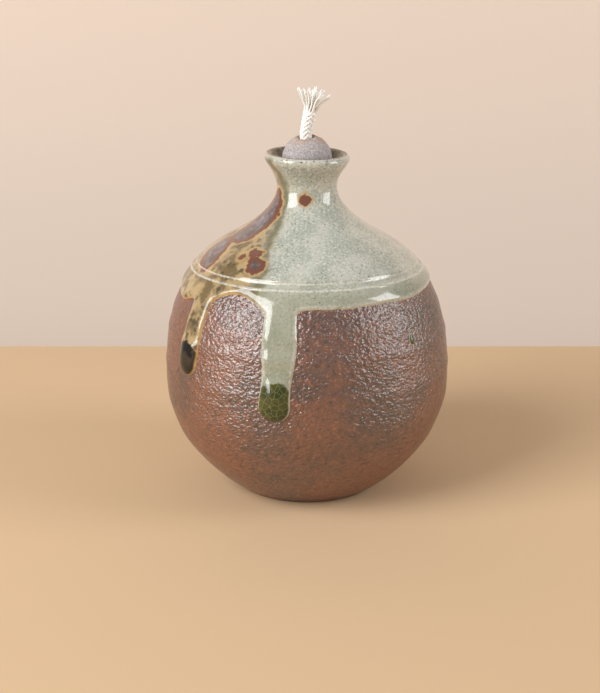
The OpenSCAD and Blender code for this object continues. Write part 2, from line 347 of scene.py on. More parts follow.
def run_distance(run, angle, height, radius, way):
    """Distance inside one run, and the share of its bead."""
    middle, half = run_shape(run, height)
    across = arc_length(angle - middle, radius)
    bead_way = outline_at(run["end"])[1] + run["half"] * 1.05
    below = bead_way - way
    if below > 0:
        inside = half - math.hypot(across, below)
    else:
        inside = half - abs(across)
    bead = 1 - smooth_step(0.6, 1.75, math.hypot(across, 0.8 * below) / run["half"])
    return inside, bead


def glaze_distance(angle, height):
    """Distance inside the glaze's edge in millimetres, and the share of a bead, from 0 to 1."""
    radius, way, _ = outline_at(height)
    turn = math.radians(angle)
    sway = 1.1 * noise.noise(Vector((math.sin(turn) * 2.2, math.cos(turn) * 2.2, 3.1)))
    sway += 0.35 * noise.noise(Vector((math.sin(turn) * 9, math.cos(turn) * 9, 7.7)))
    droop = DROOP * math.exp(-((angle - DROOP_ANGLE) / DROOP_WIDTH) ** 2)
    coat = way - outline_at(EDGE_HEIGHT - droop)[1] + sway
    bay_way = outline_at(BAY["height"])[1]
    bay = math.hypot(arc_length(angle - BAY["angle"], radius), way - bay_way) - BAY["radius"]
    inside = smooth_min(coat, bay, EDGE_BLEND)
    bead = 0
    for run in RUNS.values():
        run_inside, run_bead = run_distance(run, angle, height, radius, way)
        inside = smooth_max(inside, run_inside, RUN_BLEND)
        bead = max(bead, run_bead)
    inside += 0.12 * noise.noise(Vector((math.sin(turn) * 60, math.cos(turn) * 60, height * 0.9)))
    return inside, bead


# %% [markdown]
# The thickness follows from that distance. Surface tension rounds the edge of melted glass, so the
# thickness climbs like a quarter circle and then levels off. It is thin on the neck, thicker where it pooled
# at the shoulder, thicker again in the runs, and swells to a drop in the beads at their ends.

# %% Thickness of the glaze
SUNK = -0.35
BEAD_THICKNESS = 2.6


def glaze_thickness(angle, height, inside, bead):
    """Thickness of the glaze in millimetres, below zero where it is sunk in the clay."""
    if inside <= 0:
        return max(1.1 * inside, SUNK)
    low = 1 - smooth_step(86, 99, height)
    body = 0.5 + 0.25 * (1 - smooth_step(96, 127, height)) + 0.45 * low
    body *= 1 + 0.12 * noise.noise(Vector((angle / 9, height / 6, 1.5)))
    full = body + bead * (BEAD_THICKNESS - body)
    width = 1.9 + 1.3 * low + 2.4 * bead
    share = min(inside / width, 1)
    return full * math.sqrt(1 - (1 - share) ** 2)


# %% [markdown]
# ## The iron patches
# Lumps of iron in the ash melted into dark pools with a rust-red rim and an amber halo. They are placed as
# short chains of discs on the skin, as left angle, height and radius. The shader gives them ragged rims, so
# here only their smooth distance is needed.

# %% Places of the iron patches
IRON_CHAINS = [
    [(66, 124.5, 2.6), (64, 119.5, 5.0), (64, 114, 7.4), (66, 109.5, 8.0)],
    [(76, 105.0, 4.6), (71, 102.0, 7.6), (66, 99.2, 5.6)],
    [(29.3, 101.0, 4.1), (33, 102.6, 2.2)],
    [(36, 104.6, 2.4), (31.5, 104.7, 1.6)],
    [(42, 102.9, 1.7)],
    [(3.2, 123.2, 2.3)],
    [(42, 117, 0.9)],
    [(-128, 104, 4.4), (-133, 99.5, 5.4)],
    [(148, 112, 3.2), (152, 107.5, 4.2)],
]
IRON_POINTS = [[(on_wall(a, h) / MM, r) for a, h, r in chain] for chain in IRON_CHAINS]


def iron_distance(point):
    """Distance inside the nearest iron patch, in millimetres, down to -6 outside."""
    best = -6.0
    for chain in IRON_POINTS:
        links = list(zip(chain, chain[1:])) or [(chain[0], chain[0])]
        for (a, ra), (b, rb) in links:
            step = b - a
            share = 0 if step.length < 1e-6 else min(max((point - a).dot(step) / step.length_squared, 0), 1)
            best = max(best, ra + share * (rb - ra) - (point - a - share * step).length)
    return best


# %% [markdown]
# ## The glaze skin
# The skin needs a mesh that is fine where the runs and the bay are, and may be coarse elsewhere. So the
# wire is spun twice: over the front left in steps of half a millimetre, and around the back in larger ones.
# Each vertex then moves out by the thickness of the glaze, and faces that lie wholly outside the glaze go.
# What the shader must know is stored on the vertices as attributes.

# %% Spin and lift the glaze
FINE_FROM, FINE_TO, FINE_STEP = -14.0, 66.0, 0.5
COARSE_DEGREES = 1.6
SKIN_LOW = 43.0
GLAZE_BACK, LIP_GLAZE = 0.3, 0.4
AMBER_ANGLE, AMBER_BLEND = 24, 7
GLAZE_VALUES = ("depth", "inside", "bead", "iron", "amber")

glaze_wire = [p for p in even_points(OUTLINE, FINE_STEP) if p.y >= SKIN_LOW]
glaze_wire += lip_arc(LIP_WALL / 2, 0, 95, 8)[1:]


def value_layers(bm):
    """The layers on the vertices that the glaze's shader reads."""
    return {name: bm.verts.layers.float.new(name) for name in GLAZE_VALUES}


bm = bmesh.new()
fine_steps = round(arc_length(FINE_TO - FINE_FROM, BELLY.x) / FINE_STEP)
coarse_steps = round((360 - FINE_TO + FINE_FROM) / COARSE_DEGREES)
last = spin(bm, wire(bm, glaze_wire, FINE_FROM), FINE_TO - FINE_FROM, fine_steps)
spin(bm, last, 360 - FINE_TO + FINE_FROM, coarse_steps)
finish_shell(bm, 0.00005)
layers = value_layers(bm)
for vert in bm.verts:
    angle = left_angle(vert.co)
    height = min(vert.co.z / MM, LIP.y - 0.01)
    over_lip = vert.co.z / MM > LIP.y
    inside, bead = glaze_distance(angle, height)
    thick = glaze_thickness(angle, height, inside, bead)
    turn = math.radians(angle)
    if over_lip:
        flat = Vector((math.hypot(vert.co.x, vert.co.y), vert.co.z)) / MM - LIP_CENTRE
        out = flat.normalized()
        thick = LIP_GLAZE
    else:
        out = outline_at(height)[2]
    lift = (thick + wall_wander(angle, height)) * MM
    vert[layers["iron"]] = iron_distance(vert.co / MM)
    vert.co += lift * Vector((-out.x * math.sin(turn), -out.x * math.cos(turn), out.y))
    vert[layers["depth"]] = thick
    vert[layers["inside"]] = inside
    vert[layers["bead"]] = bead
    boundary = AMBER_ANGLE + 0.9 * max(height - 100, 0) + 14 * smooth_step(88, 70, height)
    past_boundary = arc_length(angle - boundary, outline_at(height)[0])
    behind = smooth_step(118, 150, angle)
    vert[layers["amber"]] = smooth_step(-AMBER_BLEND, AMBER_BLEND, past_boundary) * (1 - behind)
bare = [f for f in bm.faces if all(v[layers["depth"]] <= SUNK + 0.01 for v in f.verts)]
bmesh.ops.delete(bm, geom=bare, context="FACES")
lean_lip(bm)
bmesh.ops.solidify(bm, geom=bm.faces, thickness=GLAZE_BACK * MM)
bmesh.ops.recalc_face_normals(bm, faces=bm.faces)
glaze = new_piece("ash_glaze", bm, "vessel", ["glaze_coat", "glaze_run_front", "glaze_run_left"])

# %% [markdown]
# The two spots on the right of the belly are splashes: small domes of the same glass. Each is a disc of
# vertices laid on the skin and lifted like a lens. The bead value also tells placed vertices from new ones.

# %% Splashes
SPLASHES = [(-45.5, 73.2, 1.4, 2.1), (-54.5, 80.8, 0.8, 1.2)]
SPLASH_RINGS, SPLASH_SIDES, SPLASH_HEIGHT, SPLASH_SUNK = 8, 32, 0.75, 0.1
SPLASH_BEAD = 0.55
bm = bmesh.new()
splash_layers = value_layers(bm)
for angle, height, half_w, half_h in SPLASHES:
    disc = bmesh.ops.create_circle(bm, cap_ends=True, cap_tris=True, radius=1, segments=SPLASH_SIDES)
    edges = list({e for v in disc["verts"] for e in v.link_edges})
    bmesh.ops.subdivide_edges(bm, edges=edges, cuts=SPLASH_RINGS - 1, use_grid_fill=True)
    verts = {v for f in bm.faces for v in f.verts if not v[splash_layers["bead"]]}
    radius = outline_at(height)[0]
    for vert in verts:
        x, y = vert.co.x, vert.co.y
        out_share = min(math.hypot(x, y), 1)
        thick = SPLASH_HEIGHT * math.sqrt(max(1 - out_share ** 2, 0)) - SPLASH_SUNK
        place_angle = angle - math.degrees(x * half_w / radius)
        place_height = height + y * half_h * (1.25 if y > 0 else 1)
        thick += wall_wander(place_angle, place_height)
        vert.co = on_wall(place_angle, place_height, thick)
        vert[splash_layers["depth"]] = 0.4 + thick
        vert[splash_layers["inside"]] = 3 * (1 - out_share)
        vert[splash_layers["bead"]] = SPLASH_BEAD
        vert[splash_layers["iron"]] = -6
bmesh.ops.recalc_face_normals(bm, faces=bm.faces)
splashes = new_piece("glaze_splashes", bm, "vessel", ["glaze_drops"])

# %% [markdown]
# ## The glaze inside
# The liner glaze keeps the oil in. It starts at the crest of the lip, where it meets the outer coat, and
# runs down the throat to the floor. It is a thin closed shell, spun from a wire that goes down its face and
# comes back behind it.

# %% Spin the liner
LINER_THICKNESS, LINER_SUNK = 0.4, 0.1
LINER_STEPS, LINER_STEP = 220, 1.6
face = lip_arc(LIP_WALL / 2 + LINER_THICKNESS, 88, 180, LIP_STEPS)
face += even_points(inner_wall(LINER_THICKNESS), LINER_STEP)
back = lip_arc(LIP_WALL / 2 - LINER_SUNK, 88, 180, LIP_STEPS)
back += even_points(inner_wall(-LINER_SUNK), LINER_STEP)
bm = bmesh.new()
section = face + list(reversed(back))
geom = wire(bm, section)
geom.append(bm.edges.new((geom[len(section) - 1], geom[0])))
spin(bm, geom, 360, LINER_STEPS, full=True)
finish_shell(bm)
lean_lip(bm)
liner = new_piece("inner_glaze", bm, "vessel", ["glaze_liner"])

# %% [markdown]
# ## The pierced ball
# A ball of sandy clay, rolled between the palms and pierced while soft. The hole left a softened edge and a
# slightly flattened top. Half the section is a wire: the round outside, the soft edges and the wall of the
# hole. It is spun about its own axis, made uneven like a hand-rolled ball, and then leaned and lifted to its
# seat in the neck.

# %% Make the ball
BALL_RADIUS, BORE_RADIUS, BORE_EDGE = 10.2, 3.1, 0.9
LEAN_FRONT, LEAN_LEFT = math.radians(10), math.radians(3)
BALL_CENTRE = Vector((0, 0, 137.86 * MM))
BALL_STEPS = 160
BALL_TURN = Matrix.Rotation(-LEAN_LEFT, 4, "Y") @ Matrix.Rotation(LEAN_FRONT, 4, "X")
BORE_AXIS = (BALL_TURN @ UP).normalized()

start = math.degrees(math.asin((BORE_RADIUS + BORE_EDGE) / BALL_RADIUS))
arc = [Vector((BALL_RADIUS * math.sin(math.radians(a)), BALL_RADIUS * math.cos(math.radians(a))))
       for a in [start + (180 - 2 * start) * k / 60 for k in range(61)]]
edge_z = arc[0].y
soft = [Vector((BORE_RADIUS + BORE_EDGE * (1 - math.sin(math.radians(a))),
                edge_z - BORE_EDGE * (1 - math.cos(math.radians(a))))) for a in (15, 35, 55, 75, 90)]
hole_wall = [Vector((BORE_RADIUS, soft[-1].y * (1 - 2 * k / 24))) for k in range(1, 24)]
upward = [Vector((p.x, -p.y)) for p in soft + hole_wall]
ring = arc + upward + list(reversed(soft))
bm = bmesh.new()
geom = wire(bm, ring)
geom.append(bm.edges.new((geom[len(ring) - 1], geom[0])))
spin(bm, geom, 360, BALL_STEPS, full=True)
finish_shell(bm)
for vert in bm.verts:
    place = vert.co / MM
    out = place.normalized()
    near_hole = smooth_step(BORE_RADIUS + 0.2, BORE_RADIUS + 3, math.hypot(place.x, place.y))
    uneven = 0.12 * noise.noise(place * 0.35) + 0.05 * noise.noise(place * 0.9)
    sag = -0.22 * (1 - smooth_step(0, 5.5, math.hypot(place.x, place.y) - BORE_RADIUS)) * near_hole
    vert.co += out * (uneven * near_hole + sag) * MM
bmesh.ops.transform(bm, matrix=Matrix.Translation(BALL_CENTRE) @ BALL_TURN, verts=bm.verts)
ball = new_piece("pierced_ball", bm, "stopper", ["stopper"])

# %% [markdown]
# ## The wick
# Lamp wick is a braided cotton cord. Its jacket is eight yarns that turn one way and eight that turn the
# other, each passing over and under the ones it meets. A yarn is a curve with a round bevel, and its route
# is a helix around the cord's own line. The same braid makes the stem that shows and the tail that hangs in
# the lamp.

# %% Lines that the wick follows
WICK_RADIUS = 2.5
STEM_BEND = [(-0.5, -1.8, 10.6), (-0.1, -1.9, 12.8), (0.4, -2, 15.2), (0.9, -2, 17.4), (1.3, -2, 19)]
TAIL_BEND = [(1.3, 4.2, -28), (1.2, 4.2, -38), (1, 4, -50), (0.8, 3.6, -62), (0.9, 3.3, -74),
             (1.2, 3.4, -86), (1.4, 3.8, -98), (1.3, 4.1, -110), (1, 4.1, -121)]
BORE_ENDS, STRAIGHT_TAIL = 9.4, 22
TAIL_END = Vector((0.8, 4, 8.2))
ball_mm = BALL_CENTRE / MM


def down_bore(distance):
    return ball_mm + distance * BORE_AXIS


stem_line = [down_bore(d) for d in (-BORE_ENDS, -4, 2, 8)] + [ball_mm + Vector(p) for p in STEM_BEND]
tail_line = [down_bore(-d) for d in (BORE_ENDS, 15, STRAIGHT_TAIL)] + [ball_mm + Vector(p) for p in TAIL_BEND]
tail_line.append(TAIL_END)


def smooth_line(points, step):
    """A smooth curve through the points, at even steps."""
    ends = [2 * points[0] - points[1]] + list(points) + [2 * points[-1] - points[-2]]
    dense = []
    for p0, p1, p2, p3 in zip(ends, ends[1:], ends[2:], ends[3:]):
        for k in range(12):
            t = k / 12
            dense.append(0.5 * (2 * p1 + (p2 - p0) * t + (2 * p0 - 5 * p1 + 4 * p2 - p3) * t * t
                                + (3 * p1 - p0 - 3 * p2 + p3) * t ** 3))
    return even_points(dense + [points[-1]], step)


def frames_along(line):
    """For each point of a line its heading and two directions across it."""
    result = []
    for i, point in enumerate(line):
        heading = (line[min(i + 1, len(line) - 1)] - line[max(i - 1, 0)]).normalized()
        across = Vector((0, 1, 0)).cross(heading).normalized()
        result.append((point, heading, across, heading.cross(across)))
    return result


def tube_mesh(name, routes, sides=6):
    """One mesh of round tubes along routes of (point, radius) in millimetres."""
    curve = bpy.data.curves.new(name, "CURVE")
    curve.dimensions = "3D"
    curve.bevel_depth = MM
    curve.bevel_resolution = (sides - 4) // 2
    curve.use_fill_caps = True
    for route in routes:
        spline = curve.splines.new("POLY")
        spline.points.add(len(route) - 1)
        for item, (point, radius) in zip(spline.points, route):
            item.co = (*(Vector(point) * MM), 1)
            item.radius = radius
    maker = bpy.data.objects.new(name, curve)
    bpy.context.scene.collection.objects.link(maker)
    bpy.context.view_layer.update()
    mesh = bpy.data.meshes.new_from_object(maker.evaluated_get(bpy.context.evaluated_depsgraph_get()))
    bm = bmesh.new()
    bm.from_mesh(mesh)
    bpy.data.objects.remove(maker)
    bpy.data.meshes.remove(mesh)
    bmesh.ops.remove_doubles(bm, verts=bm.verts, dist=1e-7)
    bmesh.ops.recalc_face_normals(bm, faces=bm.faces)
    return bm


# %% Braid a cord along a line
CARRIERS, BRAID_PITCH, YARN_RADIUS, BRAID_WAVE = 8, 15.0, 0.55, 0.18


def braid(line, swell=None):
    """Routes of the jacket's yarns along a line, and of the plain core under them."""
    stops = frames_along(line)
    step = (line[1] - line[0]).length
    routes = []
    for way in (1, -1):
        for carrier in range(CARRIERS):
            route = []
            for i, (point, heading, across, side) in enumerate(stops):
                share = i * step / BRAID_PITCH
                turn = math.tau * (way * share + carrier / CARRIERS)
                crossing = math.pi * (share * CARRIERS + carrier)
                wave = way * BRAID_WAVE * math.cos(crossing + way * 0.6)
                width = 1 + (swell(i / (len(stops) - 1)) if swell else 0)
                reach = (WICK_RADIUS - YARN_RADIUS - BRAID_WAVE / 2 + wave) * width
                place = point + reach * (math.cos(turn) * across + math.sin(turn) * side)
                route.append((place, YARN_RADIUS * width))
            routes.append(route)
    core = [(point, WICK_RADIUS - YARN_RADIUS + 0.12) for point, heading, across, side in stops]
    return routes, core


def stem_swell(share):
    return 0.12 * smooth_step(0.72, 1, share)


yarns, core = braid(smooth_line(stem_line, 0.6), stem_swell)
stem = new_piece("wick_stem_braid", tube_mesh("stem", yarns + [core]), "wick", ["wick_stem"])

# %% [markdown]
# The tail is the same cord, hanging free inside the lamp from the lower mouth of the ball to just above the
# floor.

# %% Hang the tail
tail_path = smooth_line(tail_line, 1.0)
yarns, core = braid(tail_path)
tail = new_piece("wick_tail_braid", tube_mesh("tail", yarns + [core]), "wick", ["wick_tail"])

# %% [markdown]
# ## The frayed end
# Above the braid the yarns come loose and spread like a brush. They leave in rings from the middle out, the
# outer ones bending further, and each gets its own length, curl and blunt end.

# %% Fray the yarns
FRAY_LENGTH, FRAY_RINGS = 10.6, [(1, 0.0), (6, 0.75), (12, 1.45), (18, 2.15)]
FRAY_STEPS, FRAY_YARN_RADIUS, FRAY_SUNK = 16, 0.36, 1.2
root, axis, across, side = frames_along(stem_line)[-1]
yarn_routes = []
for ring_index, (count, radius) in enumerate(FRAY_RINGS):
    for k in range(count):
        turn = math.tau * (k + 0.35 * ring_index + random.uniform(-0.2, 0.2)) / count
        spread = radius * random.uniform(1.9, 2.9) * (1 + 0.1 * ring_index)
        length = FRAY_LENGTH * random.uniform(0.78, 1.0) * (1 - 0.045 * ring_index)
        base = radius * Vector((math.cos(turn), math.sin(turn)))
        tip = spread * Vector((math.cos(turn + random.uniform(-0.25, 0.25)), math.sin(turn)))
        curl = Vector((random.uniform(-0.5, 0.5), random.uniform(-0.5, 0.5)))
        points = [Vector((base.x, base.y, -FRAY_SUNK)), Vector((base.x, base.y, 0.25 * length)),
                  Vector((0.55 * tip.x + curl.x, 0.55 * tip.y + curl.y, 0.6 * length)),
                  Vector((tip.x, tip.y, length))]
        route = []
        for i in range(FRAY_STEPS + 1):
            t = i / FRAY_STEPS
            p = bezier(points, t)
            wobble = 0.14 * math.sin(t * 9 + 5 * turn)
            place = root + (p.x + wobble) * across + (p.y - wobble) * side + p.z * axis
            blunt = 1 - 0.35 * smooth_step(0.93, 1, t)
            route.append((place, FRAY_YARN_RADIUS * random.uniform(0.94, 1.06) * blunt))
        yarn_routes.append(route)
fray = new_piece("wick_fray_yarns", tube_mesh("fray", yarn_routes, 8), "wick", ["wick_fray"])

# %% [markdown]
# ## Shader building blocks
# Materials are trees of nodes. One helper adds a node, sets what is plain and links what is a socket, which
# keeps each material short enough to read from top to bottom.

# %% Helpers for node trees
def put(tree, kind, inputs=None, **settings):
    """Adds a node, with settings such as operation, and sets or links its inputs by name or number."""
    node = tree.nodes.new("ShaderNode" + kind)
    for key, value in settings.items():
        setattr(node, key, value)
    for key, value in (inputs or {}).items():
        if isinstance(value, bpy.types.NodeSocket):
            tree.links.new(value, node.inputs[key])
        else:
            node.inputs[key].default_value = value
    return node


def maths(tree, operation, a, b=0.0):
    return put(tree, "Math", {0: a, 1: b}, operation=operation).outputs[0]


def mix_colour(tree, share, a, b):
    return put(tree, "Mix", {0: share, 6: a, 7: b}, data_type="RGBA").outputs[2]


def remap(tree, value, low, high, to_low=0.0, to_high=1.0):
    """Turns low to high into to_low to to_high, with soft ends."""
    node = put(tree, "MapRange", {0: value, 1: low, 2: high, 3: to_low, 4: to_high},
               interpolation_type="SMOOTHSTEP")
    return node.outputs[0]


def attribute(tree, name):
    return put(tree, "Attribute", attribute_name=name).outputs["Fac"]


def object_place(tree):
    return put(tree, "TexCoord").outputs["Object"]


def object_height(tree):
    return put(tree, "SeparateXYZ", {0: object_place(tree)}).outputs[2]


# %% [markdown]
# The material of every piece needs grain, and three need specks. Each of these effects is a node group with
# named inputs, built once and then placed in a material with its own values. Sizes are in millimetres.

# %% Shared effects
PER_METRE = 1000.0


def effect_group(name, inputs, build):
    """A node group with named inputs and one value out, filled by a function."""
    group = bpy.data.node_groups.new(name, "ShaderNodeTree")
    for label, kind, value in inputs:
        socket = group.interface.new_socket(label, in_out="INPUT", socket_type="NodeSocket" + kind)
        socket.default_value = value
    group.interface.new_socket("Value", in_out="OUTPUT", socket_type="NodeSocketFloat")
    given = group.nodes.new("NodeGroupInput").outputs
    result = group.nodes.new("NodeGroupOutput").inputs["Value"]
    group.links.new(build(group, given), result)
    print("made node group", name)
    return group


def build_grain(tree, given):
    scaled = put(tree, "Mapping", {"Vector": object_place(tree), "Scale": given["Stretch"]}).outputs[0]
    scale = maths(tree, "DIVIDE", PER_METRE, given["Size"])
    return put(tree, "TexNoise", {"Vector": scaled, "Scale": scale, "Detail": given["Detail"]}).outputs["Fac"]


def build_specks(tree, given):
    scale = maths(tree, "DIVIDE", PER_METRE, given["Size"])
    distance = put(tree, "TexVoronoi", {"Vector": object_place(tree), "Scale": scale}).outputs["Distance"]
    return remap(tree, distance, given["Edge"], given["Core"])


GRAIN = effect_group("grain", [("Size", "Float", 1.0), ("Detail", "Float", 2.0),
                               ("Stretch", "Vector", (1, 1, 1))], build_grain)
SPECKS = effect_group("specks", [("Size", "Float", 1.0), ("Edge", "Float", 0.1),
                                 ("Core", "Float", 0.06)], build_specks)


def grain(tree, size, detail=2.0, stretch=(1, 1, 1)):
    """Cloudy noise on the piece itself, with lumps of about the given size."""
    values = {"Size": size, "Detail": detail, "Stretch": stretch}
    return put(tree, "Group", values, node_tree=GRAIN).outputs["Value"]


def specks(tree, size, edge, core):
    """Round specks, about one in each cell of the given size."""
    return put(tree, "Group", {"Size": size, "Edge": edge, "Core": core}, node_tree=SPECKS).outputs["Value"]


def cells(tree, size, feature, stretch=(1, 1, 1)):
    """Distances in a pattern of cells, to their middles or their edges as the feature says."""
    scaled = put(tree, "Mapping", {"Vector": object_place(tree), "Scale": stretch}).outputs[0]
    node = put(tree, "TexVoronoi", {"Vector": scaled, "Scale": PER_METRE / size}, feature=feature)
    return node.outputs["Distance"]


def swayed(tree, value, noise_value, reach):
    """A value pushed up and down by noise, by up to half the reach each way."""
    push = maths(tree, "MULTIPLY", maths(tree, "SUBTRACT", noise_value, 0.5), reach)
    return maths(tree, "ADD", value, push)


def new_material(name):
    material = bpy.data.materials.new(name)
    material.use_nodes = True
    tree = material.node_tree
    tree.nodes.clear()
    shader = tree.nodes.new("ShaderNodeBsdfPrincipled")
    output = tree.nodes.new("ShaderNodeOutputMaterial")
    tree.links.new(shader.outputs[0], output.inputs[0])
    print("made material", name)
    return material, tree, shader


def rgb(red, green, blue):
    """A colour as seen on a screen, from 0 to 255, turned into the linear values that nodes use."""
    def linear(c):
        c /= 255
        return c / 12.92 if c <= 0.04045 else ((c + 0.055) / 1.055) ** 2.4
    return (linear(red), linear(green), linear(blue), 1)


# %% [markdown]
# ## Red stoneware
# Iron-rich stoneware fires to a brown skin that is nearly closed, so it has a low sheen over fine grit. It
# is redder where the flame reached it, near the foot. Throwing bands, blotches and dark pits make the colour,
# and a bump of small cells breaks the sheen.

# %% Red stoneware
clay_material, tree, shader = new_material("red_stoneware")
broad = grain(tree, 28, 3)
bands = grain(tree, 9, 2, (0.12, 0.12, 1))
mottle = grain(tree, 2.2, 3)
toasted = remap(tree, object_height(tree), 45 * MM, 4 * MM)
base = mix_colour(tree, remap(tree, bands, 0.35, 0.65), rgb(104, 72, 61), rgb(84, 62, 55))
base = mix_colour(tree, remap(tree, broad, 0.45, 0.62), base, rgb(116, 73, 55))
near_foot = maths(tree, "MULTIPLY", toasted, remap(tree, broad, 0.3, 0.6))
base = mix_colour(tree, near_foot, base, rgb(124, 72, 47))
base = mix_colour(tree, remap(tree, mottle, 0.56, 0.68, 0, 0.7), base, rgb(142, 86, 62))
base = mix_colour(tree, remap(tree, mottle, 0.44, 0.32, 0, 0.6), base, rgb(60, 42, 37))
pits = specks(tree, 2.6, 0.16, 0.08)
base = mix_colour(tree, maths(tree, "MULTIPLY", pits, 0.6), base, rgb(60, 38, 32))
tree.links.new(base, shader.inputs["Base Color"])
GRIT_STRETCH = (0.7, 0.7, 1)
grit = maths(tree, "MULTIPLY", cells(tree, 1.15, "SMOOTH_F1", GRIT_STRETCH), -0.8)
peel = maths(tree, "ADD", grit, maths(tree, "MULTIPLY", grain(tree, 0.8, 2, GRIT_STRETCH), 0.9))
bump = put(tree, "Bump", {"Height": peel, "Strength": 1.0, "Distance": 0.6 * MM})
tree.links.new(bump.outputs[0], shader.inputs["Normal"])
shader.inputs["Roughness"].default_value = 0.26
shader.inputs["IOR"].default_value = 1.7
shader.inputs["Specular IOR Level"].default_value = 0.85
vessel.data.materials.append(clay_material)

# %% [markdown]
# ## Ash glaze
# Wood ash melts to a grey-green glass. It is darker where it pooled, ochre where it took up iron, and dark
# green or black in the beads. The values stored on the vertices say which of these a place is, and noise
# frays every border between them. The two edges of the groove and the top of the lip are painted near white.
# This is painted highlight where light catches these edges, and the glaze also runs thin over an edge.

# %% Ash glaze
glaze_material, tree, shader = new_material("ash_glaze")
depth, inside = attribute(tree, "depth"), attribute(tree, "inside")
bead, iron, amber = attribute(tree, "bead"), attribute(tree, "iron"), attribute(tree, "amber")
cloud = grain(tree, 11, 3)
fleck = grain(tree, 0.9, 3)
celadon = mix_colour(tree, remap(tree, cloud, 0.35, 0.65), rgb(166, 170, 158), rgb(190, 190, 178))
celadon = mix_colour(tree, remap(tree, fleck, 0.5, 0.7), celadon, rgb(204, 204, 194))
celadon = mix_colour(tree, remap(tree, fleck, 0.45, 0.32, 0, 0.6), celadon, rgb(128, 130, 112))
pooled = remap(tree, depth, 0.7, 1.1)
celadon = mix_colour(tree, maths(tree, "MULTIPLY", pooled, 0.6), celadon, rgb(128, 130, 104))
ochre = mix_colour(tree, remap(tree, grain(tree, 6, 3), 0.42, 0.62), rgb(170, 148, 108), rgb(112, 96, 66))
ochre = mix_colour(tree, remap(tree, grain(tree, 3.5, 3), 0.52, 0.68, 0, 0.8), ochre, rgb(62, 50, 34))
base = mix_colour(tree, amber, celadon, ochre)
wander = swayed(tree, amber, grain(tree, 5, 2), 0.5)
seam = maths(tree, "MULTIPLY", remap(tree, wander, 0.15, 0.4), remap(tree, wander, 0.75, 0.5))
base = mix_colour(tree, maths(tree, "MULTIPLY", seam, 0.75), base, rgb(98, 94, 62))
thin = remap(tree, inside, 0.75, 0.05, 0, 0.7)
base = mix_colour(tree, thin, base, mix_colour(tree, amber, rgb(186, 172, 142), rgb(190, 150, 92)))
green_glass = mix_colour(tree, remap(tree, cloud, 0.4, 0.6), rgb(52, 58, 22), rgb(78, 80, 34))
bead_edge = swayed(tree, bead, grain(tree, 2.5, 3), 0.5)
cracks = remap(tree, cells(tree, 2.6, "DISTANCE_TO_EDGE"), 0.05, 0.0)
green_glass = mix_colour(tree, maths(tree, "MULTIPLY", cracks, 0.5), green_glass, rgb(150, 146, 96))
bead_colour = mix_colour(tree, amber, green_glass, rgb(22, 18, 12))
in_bead = maths(tree, "MULTIPLY", remap(tree, bead_edge, 0.3, 0.45), remap(tree, inside, 0.15, 0.7))
base = mix_colour(tree, in_bead, base, bead_colour)
ragged = swayed(tree, iron, grain(tree, 1.8, 4), 3.2)
base = mix_colour(tree, remap(tree, ragged, -1.8, -0.5, 0, 0.75), base, rgb(184, 154, 108))
base = mix_colour(tree, remap(tree, ragged, -0.35, 0.35), base, rgb(112, 70, 54))
iron_cloud = remap(tree, grain(tree, 3.2, 4), 0.4, 0.72)
iron_core = mix_colour(tree, iron_cloud, rgb(88, 76, 74), rgb(128, 126, 136))
base = mix_colour(tree, remap(tree, ragged, 1.2, 3.6), base, iron_core)
glaze_height = object_height(tree)
# Painted highlight: near-white lines on the groove's two edges, where the glaze also runs thin.
for edge in (GROOVE_HEIGHT - 1.0, GROOVE_HEIGHT + 1.1):
    off_edge = maths(tree, "ABSOLUTE", maths(tree, "SUBTRACT", glaze_height, edge * MM))
    broken = remap(tree, fleck, 0.35, 0.6, 0.3, 0.85)
    line = maths(tree, "MULTIPLY", remap(tree, off_edge, 0.5 * MM, 0.1 * MM), broken)
    base = mix_colour(tree, line, base, rgb(214, 210, 198))
on_rim = remap(tree, glaze_height, 137.2 * MM, 139 * MM)
rim_spots = maths(tree, "MULTIPLY", on_rim, remap(tree, grain(tree, 1.7, 3), 0.6, 0.66))
base = mix_colour(tree, rim_spots, base, rgb(92, 58, 34))
# Painted highlight: the top of the lip is painted near white where light catches it, and the glaze there also
# runs thin.
rim_thin_glaze_and_highlight = maths(tree, "MULTIPLY", remap(tree, glaze_height, 138.2 * MM, 140.5 * MM), 0.5)
base = mix_colour(tree, rim_thin_glaze_and_highlight, base, rgb(214, 210, 200))
dark_specks = maths(tree, "MULTIPLY", specks(tree, 3.4, 0.1, 0.06), 0.8)
base = mix_colour(tree, dark_specks, base, rgb(58, 44, 30))
tree.links.new(base, shader.inputs["Base Color"])
ripple = put(tree, "Bump", {"Height": grain(tree, 2.4, 3), "Strength": 0.5, "Distance": 0.08 * MM})
tree.links.new(ripple.outputs[0], shader.inputs["Normal"])
shader.inputs["Roughness"].default_value = 0.12
shader.inputs["Coat Weight"].default_value = 0.4
shader.inputs["Coat Roughness"].default_value = 0.04
glaze.data.materials.append(glaze_material)
splashes.data.materials.append(glaze_material)

# %% [markdown]
# ## Glaze inside and clay of the ball
# The inner glaze is thin and brown over the dark clay. The ball is bare clay with sand in it, dull and grey,
# and toasted orange on top around the hole.

# %% Liner glaze
liner_material, tree, shader = new_material("liner_glaze")
base = mix_colour(tree, remap(tree, grain(tree, 3, 3), 0.4, 0.62), rgb(104, 92, 78), rgb(134, 122, 104))
tree.links.new(base, shader.inputs["Base Color"])
shader.inputs["Roughness"].default_value = 0.2
liner.data.materials.append(liner_material)

